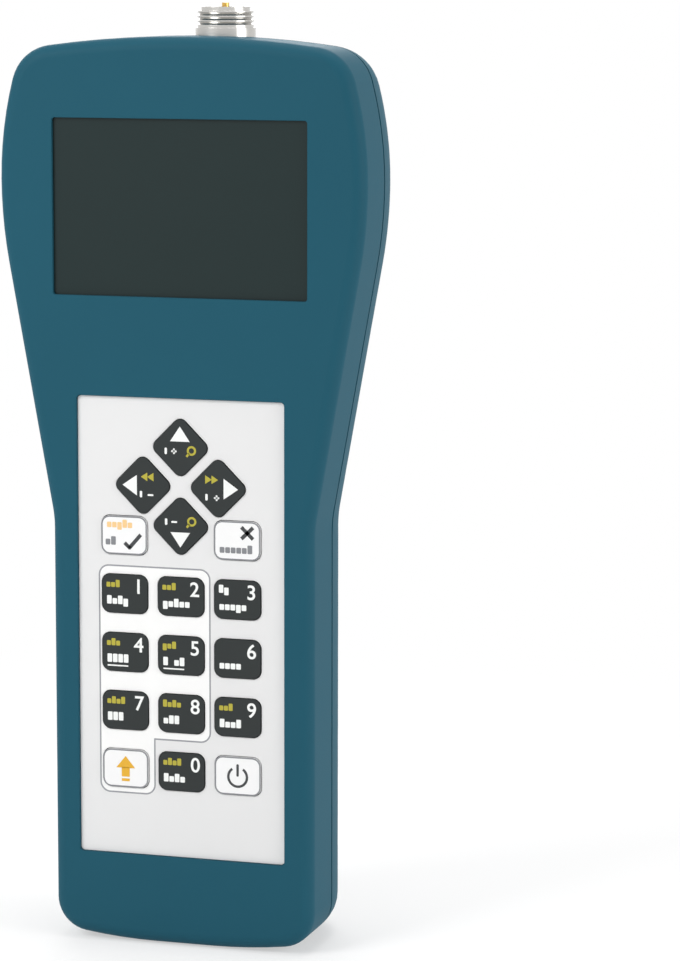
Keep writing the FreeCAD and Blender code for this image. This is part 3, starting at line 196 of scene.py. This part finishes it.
# One finish each; colours are screen values, lengths are metres
looks = {
    "casePlastic": {"colour": linear(31, 83, 100), "rough": 0.55, "specular": 0.1, "bump": 0.22,
                    "grainScale": 1800.0, "bumpDepth": 0.00005, "tint": 0.07, "mottleScale": 22.0,
                    "edge": 0.0003},
    "screenLens": {"colour": linear(28, 42, 42), "rough": 0.3, "specular": 0.2, "coat": 0.06,
                   "coatRoughness": 0.12, "bump": 0.02, "tint": 0.08, "mottleScale": 15.0},
    "panelFilm": {"colour": linear(226, 226, 226), "rough": 0.5, "specular": 0.12, "bump": 0.1,
                  "tint": 0.012},
    "darkKey": {"colour": linear(48, 52, 52), "specular": 0.2, "rough": 0.45, "bump": 0.15,
                "tint": 0.1, "edge": 0.0002},
    "whiteKey": {"colour": linear(240, 240, 240), "rough": 0.45, "bump": 0.1, "tint": 0.02,
                 "edge": 0.0002},
    "sealRubber": {"colour": linear(24, 40, 48), "rough": 0.75, "bump": 0.3, "tint": 0.15},
    "nickel": {"colour": linear(196, 194, 190), "metallic": 1.0, "rough": 0.24, "roughSpread": 0.08,
               "bump": 0.12, "tint": 0.1, "mottleScale": 220.0, "edge": 0.00008},
    "screwSteel": {"colour": linear(150, 150, 148), "metallic": 1.0, "rough": 0.32, "bump": 0.2,
                   "tint": 0.12, "mottleScale": 300.0, "edge": 0.0001},
    "springSteel": {"colour": linear(190, 186, 172), "metallic": 1.0, "rough": 0.28, "bump": 0.2,
                    "tint": 0.1, "mottleScale": 260.0},
    "goldPlate": {"colour": linear(214, 174, 92), "metallic": 1.0, "rough": 0.22, "bump": 0.1,
                  "tint": 0.08},
    "insulator": {"colour": linear(232, 229, 220), "rough": 0.42, "bump": 0.08, "tint": 0.03},
    "blackMoulding": {"colour": linear(34, 35, 37), "rough": 0.55, "bump": 0.25, "tint": 0.12,
                      "edge": 0.0001},
    "displayGlass": {"colour": linear(42, 52, 54), "rough": 0.15, "coat": 0.4, "bump": 0.02,
                     "tint": 0.08},
    "boardGreen": {"colour": linear(18, 92, 52), "rough": 0.35, "coat": 0.3, "bump": 0.25,
                   "grainScale": 900.0, "tint": 0.18, "mottleScale": 160.0},
    "chipBlack": {"colour": linear(28, 28, 29), "rough": 0.5, "bump": 0.3, "tint": 0.1,
                  "edge": 0.0001},
    "cellSleeve": {"colour": linear(30, 33, 38), "rough": 0.28, "coat": 0.3, "bump": 0.05,
                   "tint": 0.1},
    "flexFilm": {"colour": linear(176, 112, 44), "rough": 0.3, "coat": 0.2, "bump": 0.15,
                 "tint": 0.15},
    "cableJacket": {"colour": linear(120, 78, 46), "rough": 0.4, "bump": 0.2, "tint": 0.08},
    "printWhite": {"colour": linear(238, 240, 238), "rough": 0.5, "bump": 0.05, "tint": 0.02},
    "printOlive": {"colour": linear(176, 166, 52), "rough": 0.5, "bump": 0.05, "tint": 0.05},
    "printAmber": {"colour": linear(226, 172, 40), "rough": 0.5, "bump": 0.05, "tint": 0.04},
    "printPeach": {"colour": linear(240, 200, 140), "rough": 0.5, "bump": 0.05, "tint": 0.04},
    "printInk": {"colour": linear(58, 60, 62), "rough": 0.5, "bump": 0.05, "tint": 0.05},
    "printGrey": {"colour": linear(128, 130, 134), "rough": 0.5, "bump": 0.05, "tint": 0.04},
}
materials = {name: newMaterial(name, look) for name, look in looks.items()}

# The key group's outline and its whiter field, as two rounded boxes joined
fieldLook = {
    "left": -17.2 * mm, "right": 6.0 * mm, "step": -5.7 * mm, "top": 76.6 * mm,
    "stepHeight": 41.9 * mm, "bottom": 30.6 * mm, "corner": 2.0 * mm, "line": 0.16 * mm,
    "field": linear(243, 243, 242), "outline": linear(150, 152, 156),
}


def paintPanel(material):
    tree = material.node_tree
    place = tree.nodes.new("ShaderNodeTexCoord")
    distances = []
    corners = ((fieldLook["right"], fieldLook["stepHeight"]), (fieldLook["step"], fieldLook["bottom"]))
    for right, bottom in corners:
        box = tree.nodes.new("ShaderNodeGroup")
        box.node_tree = boxGroup
        box.inputs["Centre X"].default_value = (fieldLook["left"] + right) / 2
        box.inputs["Centre Z"].default_value = (fieldLook["top"] + bottom) / 2
        box.inputs["Half X"].default_value = (right - fieldLook["left"]) / 2
        box.inputs["Half Z"].default_value = (fieldLook["top"] - bottom) / 2
        box.inputs["Corner"].default_value = fieldLook["corner"]
        tree.links.new(place.outputs["Object"], box.inputs["Vector"])
        distances.append(box.outputs[0])
    nearest = maths(tree, "MINIMUM", distances[0], distances[1])
    layer(material, maths(tree, "LESS_THAN", nearest, 0.0), fieldLook["field"])
    line = maths(tree, "LESS_THAN", maths(tree, "ABSOLUTE", nearest), fieldLook["line"])
    layer(material, line, fieldLook["outline"])


cellLook = {"shoulderHeight": 56.0 * mm, "copper": linear(186, 116, 62)}


def paintCells(material):
    # The sleeve turns copper above the shoulder's height
    tree = material.node_tree
    place = tree.nodes.new("ShaderNodeTexCoord")
    split = tree.nodes.new("ShaderNodeSeparateXYZ")
    tree.links.new(place.outputs["Object"], split.inputs[0])
    above = maths(tree, "GREATER_THAN", split.outputs["Z"], cellLook["shoulderHeight"])
    layer(material, above, cellLook["copper"])


paintPanel(materials["panelFilm"])
paintCells(materials["cellSleeve"])

slotLooks = {
    "case_shell": "casePlastic", "seal": "sealRubber", "screw_steel": "screwSteel",
    "spring_steel": "springSteel", "cell_sleeve": "cellSleeve", "inner_plastic": "blackMoulding",
    "display_lens": "screenLens", "display_glass": "displayGlass", "panel_film": "panelFilm",
    "dark_key": "darkKey", "white_key": "whiteKey", "circuit_board": "boardGreen",
    "chip_plastic": "chipBlack", "socket_metal": "nickel", "socket_insulator": "insulator",
    "contact_gold": "goldPlate", "flex_film": "flexFilm", "cable_jacket": "cableJacket",
}
for part in frame["record"]["subparts"]:
    node = nodes[part["node"]]
    node.data.materials.clear()
    node.data.materials.append(materials[slotLooks[part["material_slot"]]])
print("stage: finishes on every CAD piece")


# Printed marks on the keys: thin flat shapes, drawn in millimetres about the key's middle

barLook = {"cornerPoints": 5, "blockCorner": 0.18}


def bar(x, z, width, height, corner=None):
    # Outline of a rounded bar: four quarter turns about its corner centres
    corner = min(width, height) / 2 if corner is None else corner
    angles = np.linspace(0, np.pi / 2, barLook["cornerPoints"])
    signs = np.array([[1, 1], [-1, 1], [-1, -1], [1, -1]])
    centres = signs * [width / 2 - corner, height / 2 - corner]
    turns = np.arange(4)[:, None] * np.pi / 2 + angles[None, :]
    ring = centres[:, None, :] + corner * np.stack([np.cos(turns), np.sin(turns)], -1)
    return ring.reshape(-1, 2) + [x, z]


def polygon(points):
    # A flat shape from its corners, x then z
    return np.array(points, float)


def stroke(start, end, width):
    # A straight bar between two points
    start, end = np.array(start, float), np.array(end, float)
    along = (end - start) / np.linalg.norm(end - start)
    side = np.array([-along[1], along[0]]) * width / 2
    return np.array([start - side, end - side, end + side, start + side])


def ringPieces(x, z, radius, width, start=0.0, turn=2 * np.pi, count=24):
    # A round band cut into short four-sided pieces
    angles = np.linspace(start, start + turn, count + 1)
    spokes = np.stack([np.cos(angles), np.sin(angles)], -1)
    inner = spokes * (radius - width / 2) + [x, z]
    outer = spokes * (radius + width / 2) + [x, z]
    return list(np.stack([inner[:-1], outer[:-1], outer[1:], inner[1:]], 1))


def framePieces(width, height, corner, line):
    # The band between a rounded rectangle and the same one moved inward
    outer = bar(0, 0, width, height, corner)
    inner = bar(0, 0, width - 2 * line, height - 2 * line, corner - line)
    return list(np.stack([outer, np.roll(outer, -1, 0), np.roll(inner, -1, 0), inner], 1))


digitLook = {"size": 4.1, "weight": 0.055, "x": 2.95, "z": 1.45}


def digitPieces(text):
    # The filled outlines of a character, as flat faces
    curve = bpy.data.curves.new("digitCurve", "FONT")
    curve.body = text
    curve.size = digitLook["size"]
    curve.align_x = "CENTER"
    curve.align_y = "CENTER"
    curve.offset = digitLook["weight"]
    holder = bpy.data.objects.new("digitHolder", curve)
    bpy.context.scene.collection.objects.link(holder)
    bpy.context.view_layer.update()
    shaped = holder.evaluated_get(bpy.context.evaluated_depsgraph_get())
    mesh = bpy.data.meshes.new_from_object(shaped)
    points = np.zeros(len(mesh.vertices) * 3)
    mesh.vertices.foreach_get("co", points)
    flat = points.reshape(-1, 3)[:, :2] + [digitLook["x"], digitLook["z"]]
    pieces = [flat[list(face.vertices)] for face in mesh.polygons]
    bpy.data.objects.remove(holder)
    return pieces


printSize = {"thickness": 0.03, "sink": 0.01}


def addPrint(key, marks):
    # Every mark is a prism from just inside the key's face to its printed thickness before it
    name = key + "_print"
    low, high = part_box(key)
    centreX, centreZ = (low[0] + high[0]) / 2 / mm, (low[2] + high[2]) / 2 / mm
    back, front = low[1] / mm + printSize["sink"], low[1] / mm - printSize["thickness"]
    vertices, faces, kinds, count = [], [], [], 0
    used = sorted({look for look, _ in marks})
    for look, pieces in marks:
        for piece in pieces:
            after = np.roll(piece, -1, 0)
            area = np.sum(piece[:, 0] * after[:, 1] - after[:, 0] * piece[:, 1])
            ring = piece if area > 0 else piece[::-1]
            size = len(ring)
            x, z = ring[:, 0] + centreX, ring[:, 1] + centreZ
            vertices.append(np.stack([x, np.full(size, front), z], -1))
            vertices.append(np.stack([x, np.full(size, back), z], -1))
            frontRing = count + np.arange(size)
            after = np.roll(frontRing, -1)
            faces += [frontRing.tolist(), (frontRing[::-1] + size).tolist()]
            faces += np.stack([after, frontRing, frontRing + size, after + size], -1).tolist()
            kinds += [used.index(look)] * (size + 2)
            count += 2 * size
    mesh = bpy.data.meshes.new(name)
    mesh.from_pydata((np.concatenate(vertices) * mm).tolist(), [], faces)
    mesh.polygons.foreach_set("material_index", kinds)
    for look in used:
        mesh.materials.append(materials[look])
    mesh.update()
    printed = bpy.data.objects.new(name, mesh)
    bpy.context.scene.collection.objects.link(printed)
    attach(printed, key.replace("key_", "button_"))


blockLook = {"width": 0.98, "gap": 0.17, "short": 1.15, "tall": 1.7, "drop": 0.45}


def blockRow(x, base, pattern, scale=1.0):
    # Small blocks side by side: s short, t tall, d hanging below the line, a blank is a gap
    kinds = np.array(list(pattern))
    width, step = blockLook["width"], blockLook["width"] + blockLook["gap"]
    places = x + scale * (np.arange(len(kinds)) * step + width / 2)
    low = np.where(kinds == "d", -blockLook["drop"], 0.0) * scale
    high = np.where(kinds == "t", blockLook["tall"], blockLook["short"]) * scale
    middles, heights = base + (low + high) / 2, high - low
    return [bar(places[i], middles[i], width * scale, heights[i], barLook["blockCorner"])
            for i in np.nonzero(kinds != " ")[0]]


# For each digit key its upper and lower row of blocks
keyRows = {
    "key_1": ("sst", "tstd"), "key_2": ("sst", "dstss"), "key_3": ("", "sssds"),
    "key_4": ("sts", "tttt"), "key_5": ("dst", "t st"), "key_6": ("", "ssss"),
    "key_7": ("stst", "ttt"), "key_8": ("tsts", "stt"), "key_9": ("sst", "tsst"),
    "key_0": ("stst", "tsts"),
}
for key, (upper, lower) in keyRows.items():
    marks = [("printWhite", digitPieces(key[-1]))]
    if upper:
        marks.append(("printOlive", blockRow(-3.8, 1.3, upper, 0.85)))
    marks.append(("printWhite", blockRow(-3.7, -2.1, lower)))
    if key == "key_3":
        marks.append(("printWhite", blockRow(-3.8, 1.3, "td", 0.95)))
    if key in ("key_4", "key_5"):
        marks.append(("printWhite", [bar(-1.5, -2.75, 4.4, 0.28)]))
    addPrint(key, marks)


def turned(pieces, quarter):
    # The pieces turned left by a number of quarter turns
    angle = quarter * np.pi / 2
    spin = np.array([[np.cos(angle), np.sin(angle)], [-np.sin(angle), np.cos(angle)]])
    return [piece @ spin for piece in pieces]


def moved(pieces, x, z):
    return [piece + [x, z] for piece in pieces]


arrow = [polygon([[-2.05, 1.2], [2.05, 1.2], [0, 4.2]])]
magnifier = ringPieces(2.4, -0.55, 0.75, 0.42) + [stroke((1.9, -1.1), (1.35, -1.75), 0.45)]
chevrons = [polygon([[0.0, -0.85], [1.35, 0], [0.0, 0.85]]),
            polygon([[1.3, -0.85], [2.65, 0], [1.3, 0.85]])]
plus = [bar(-1.25, -0.75, 1.15, 0.38), bar(-1.25, -0.75, 0.38, 1.15)]
minus = [bar(-1.25, -0.75, 1.25, 0.38)]
smallBar = [bar(-2.95, -0.75, 0.5, 1.3, 0.2)]
arrowPrints = {
    "key_up": [("printWhite", arrow + plus + smallBar), ("printOlive", magnifier)],
    "key_down": [("printWhite", turned(arrow, 2) + moved(minus + smallBar, 0, 1.6)),
                 ("printOlive", moved(magnifier, 0, 1.6))],
    "key_left": [
        ("printWhite", turned(arrow, 1) + moved(minus, 2.9, -1.1) + moved(smallBar, 2.6, -1.0)),
        ("printOlive", [piece * [-1, 1] + [2.3, 1.75] for piece in chevrons])],
    "key_right": [
        ("printWhite", turned(arrow, 3) + moved(plus, 1.0, -1.1) + moved(smallBar, 0.6, -1.0)),
        ("printOlive", moved(chevrons, -2.6, 1.75))],
}
for key, marks in arrowPrints.items():
    addPrint(key, marks)


inkWidth = 0.75
frameLook = {"width": 9.6, "height": 7.7, "corner": 1.7, "line": 0.28}
keyFrame = framePieces(frameLook["width"], frameLook["height"], frameLook["corner"], frameLook["line"])
addPrint("key_ok", [
    ("printGrey", keyFrame + blockRow(-3.9, -2.0, "st")),
    ("printPeach", blockRow(-3.6, 1.5, "ssdts", 0.95)),
    ("printInk", [stroke((0.1, -1.5), (1.3, -2.6), inkWidth),
                  stroke((1.05, -2.55), (3.5, 0.25), inkWidth)])])
addPrint("key_cancel", [
    ("printGrey", keyFrame + blockRow(-3.6, -2.5, "ssssst")),
    ("printInk", [stroke((0.9, 0.45), (3.3, 2.75), inkWidth),
                  stroke((0.9, 2.75), (3.3, 0.45), inkWidth)])])
addPrint("key_function", [
    ("printGrey", keyFrame),
    ("printAmber", [polygon([[-2.0, 0.1], [2.0, 0.1], [0.0, 2.5]]), bar(0, -0.75, 1.7, 1.9, 0.1),
                    bar(0, -2.35, 1.7, 0.55, 0.1)])])
addPrint("key_power", [
    ("printGrey", keyFrame),
    ("printInk", ringPieces(0, -0.2, 1.95, 0.5, np.radians(125), np.radians(290), 22)),
    ("printInk", [bar(0, 1.15, 0.5, 2.5, 0.2)])])
print("stage: key prints made")

# Floor, backdrop colour and lamps
floorLook = {"half": 6.0, "drop": 0.2 * mm, "colour": (0.95, 0.95, 0.95, 1.0), "rough": 0.9,
             "shadowShare": 0.5, "fadeStart": 0.09, "fadeEnd": 0.3}
white = (1.0, 1.0, 1.0, 1.0)


def seenDirectly(tree):
    # One where a camera, mirror or glass ray looks, so that these see the plain white
    path = tree.nodes.new("ShaderNodeLightPath")
    shown = maths(tree, "MAXIMUM", path.outputs["Is Camera Ray"], path.outputs["Is Glossy Ray"])
    return maths(tree, "MAXIMUM", shown, path.outputs["Is Transmission Ray"])


def addFloor():
    # White at a distance, its own shaded paint near the object, clear from below
    half = floorLook["half"]
    mesh = bpy.data.meshes.new("floor")
    corners = [(-half, -half, 0), (half, -half, 0), (half, half, 0), (-half, half, 0)]
    mesh.from_pydata(corners, [], [(0, 1, 2, 3)])
    floor = bpy.data.objects.new("floor", mesh)
    floor.location.z = -floorLook["drop"]
    bpy.context.scene.collection.objects.link(floor)
    material = bpy.data.materials.new("floorPaint")
    material.use_nodes = True
    tree = material.node_tree
    shader = tree.nodes["Principled BSDF"]
    shader.inputs["Base Color"].default_value = floorLook["colour"]
    shader.inputs["Roughness"].default_value = floorLook["rough"]
    output = tree.nodes["Material Output"]
    glow = tree.nodes.new("ShaderNodeEmission")
    glow.inputs["Color"].default_value = white
    place = tree.nodes.new("ShaderNodeTexCoord")
    reach = tree.nodes.new("ShaderNodeVectorMath")
    reach.operation = "LENGTH"
    tree.links.new(place.outputs["Object"], reach.inputs[0])
    fade = tree.nodes.new("ShaderNodeMapRange")
    fade.interpolation_type = "SMOOTHSTEP"
    fade.inputs["From Min"].default_value = floorLook["fadeStart"]
    fade.inputs["From Max"].default_value = floorLook["fadeEnd"]
    fade.inputs["To Min"].default_value = 1.0 - floorLook["shadowShare"]
    tree.links.new(reach.outputs["Value"], fade.inputs["Value"])
    share = maths(tree, "MULTIPLY", seenDirectly(tree), fade.outputs[0])
    mix = tree.nodes.new("ShaderNodeMixShader")
    tree.links.new(share, mix.inputs[0])
    tree.links.new(shader.outputs[0], mix.inputs[1])
    tree.links.new(glow.outputs[0], mix.inputs[2])
    clear = tree.nodes.new("ShaderNodeBsdfTransparent")
    under = tree.nodes.new("ShaderNodeMixShader")
    side = tree.nodes.new("ShaderNodeNewGeometry")
    tree.links.new(side.outputs["Backfacing"], under.inputs[0])
    tree.links.new(mix.outputs[0], under.inputs[1])
    tree.links.new(clear.outputs[0], under.inputs[2])
    tree.links.new(under.outputs[0], output.inputs["Surface"])
    mesh.materials.append(material)


worldLook = {"colour": (0.83, 0.83, 0.83, 1.0), "strength": 0.42}


def setWorld():
    world = bpy.data.worlds.new("studio")
    bpy.context.scene.world = world
    world.use_nodes = True
    tree = world.node_tree
    ground = tree.nodes["Background"]
    ground.inputs["Color"].default_value = worldLook["colour"]
    ground.inputs["Strength"].default_value = worldLook["strength"]
    backdrop = tree.nodes.new("ShaderNodeBackground")
    backdrop.inputs["Color"].default_value = white
    mix = tree.nodes.new("ShaderNodeMixShader")
    tree.links.new(seenDirectly(tree), mix.inputs[0])
    tree.links.new(ground.outputs[0], mix.inputs[1])
    tree.links.new(backdrop.outputs[0], mix.inputs[2])
    tree.links.new(mix.outputs[0], tree.nodes["World Output"].inputs["Surface"])


lampLooks = {
    "keyLamp": {"place": (-0.30, -0.42, 0.42), "size": 0.3, "power": 2.1},
    "sideLamp": {"place": (0.95, -0.1, 0.35), "size": 0.6, "power": 4.6},
    "topLamp": {"place": (0.05, 0.1, 0.95), "size": 0.5, "power": 3.4},
    "backLamp": {"place": (-0.4, 0.9, 0.5), "size": 0.7, "power": 4.0},
}
middle = Vector((0.0, 0.0, 0.095))


def addLamps():
    # Each lamp faces the middle of the object
    for name, look in lampLooks.items():
        lamp = bpy.data.lights.new(name, "AREA")
        lamp.size = look["size"]
        lamp.energy = look["power"]
        holder = bpy.data.objects.new(name, lamp)
        holder.location = look["place"]
        aim = middle - Vector(look["place"])
        holder.rotation_euler = aim.to_track_quat("-Z", "Y").to_euler()
        bpy.context.scene.collection.objects.link(holder)


# The camera found from the keypad grid and the screen's corners
cameraLook = {"place": (0.23056, -0.66724, 0.19344), "azimuth": 16.877, "elevation": 8.169, "roll": 0.1,
              "lens": 132.78, "sensor": 36.0, "near": 0.01, "far": 50.0}


def addCamera():
    turn, rise, roll = (math.radians(cameraLook[word]) for word in ("azimuth", "elevation", "roll"))
    level = math.cos(rise)
    back = Vector((math.sin(turn) * level, -math.cos(turn) * level, math.sin(rise)))
    right = (-back).cross(Vector((0, 0, 1))).normalized()
    up = right.cross(-back)
    rolledRight = math.cos(roll) * right + math.sin(roll) * up
    rolledUp = math.cos(roll) * up - math.sin(roll) * right
    camera = bpy.data.cameras.new("photoCamera")
    camera.sensor_width = cameraLook["sensor"]
    camera.lens = cameraLook["lens"]
    camera.clip_start = cameraLook["near"]
    camera.clip_end = cameraLook["far"]
    holder = bpy.data.objects.new("photoCamera", camera)
    axes = Matrix((rolledRight, rolledUp, back)).transposed().to_4x4()
    holder.matrix_world = Matrix.Translation(cameraLook["place"]) @ axes
    bpy.context.scene.collection.objects.link(holder)
    bpy.context.scene.camera = holder


addFloor()
setWorld()
addLamps()
addCamera()
bpy.context.scene.view_settings.view_transform = "Standard"
print("stage: floor, lamps and camera ready")
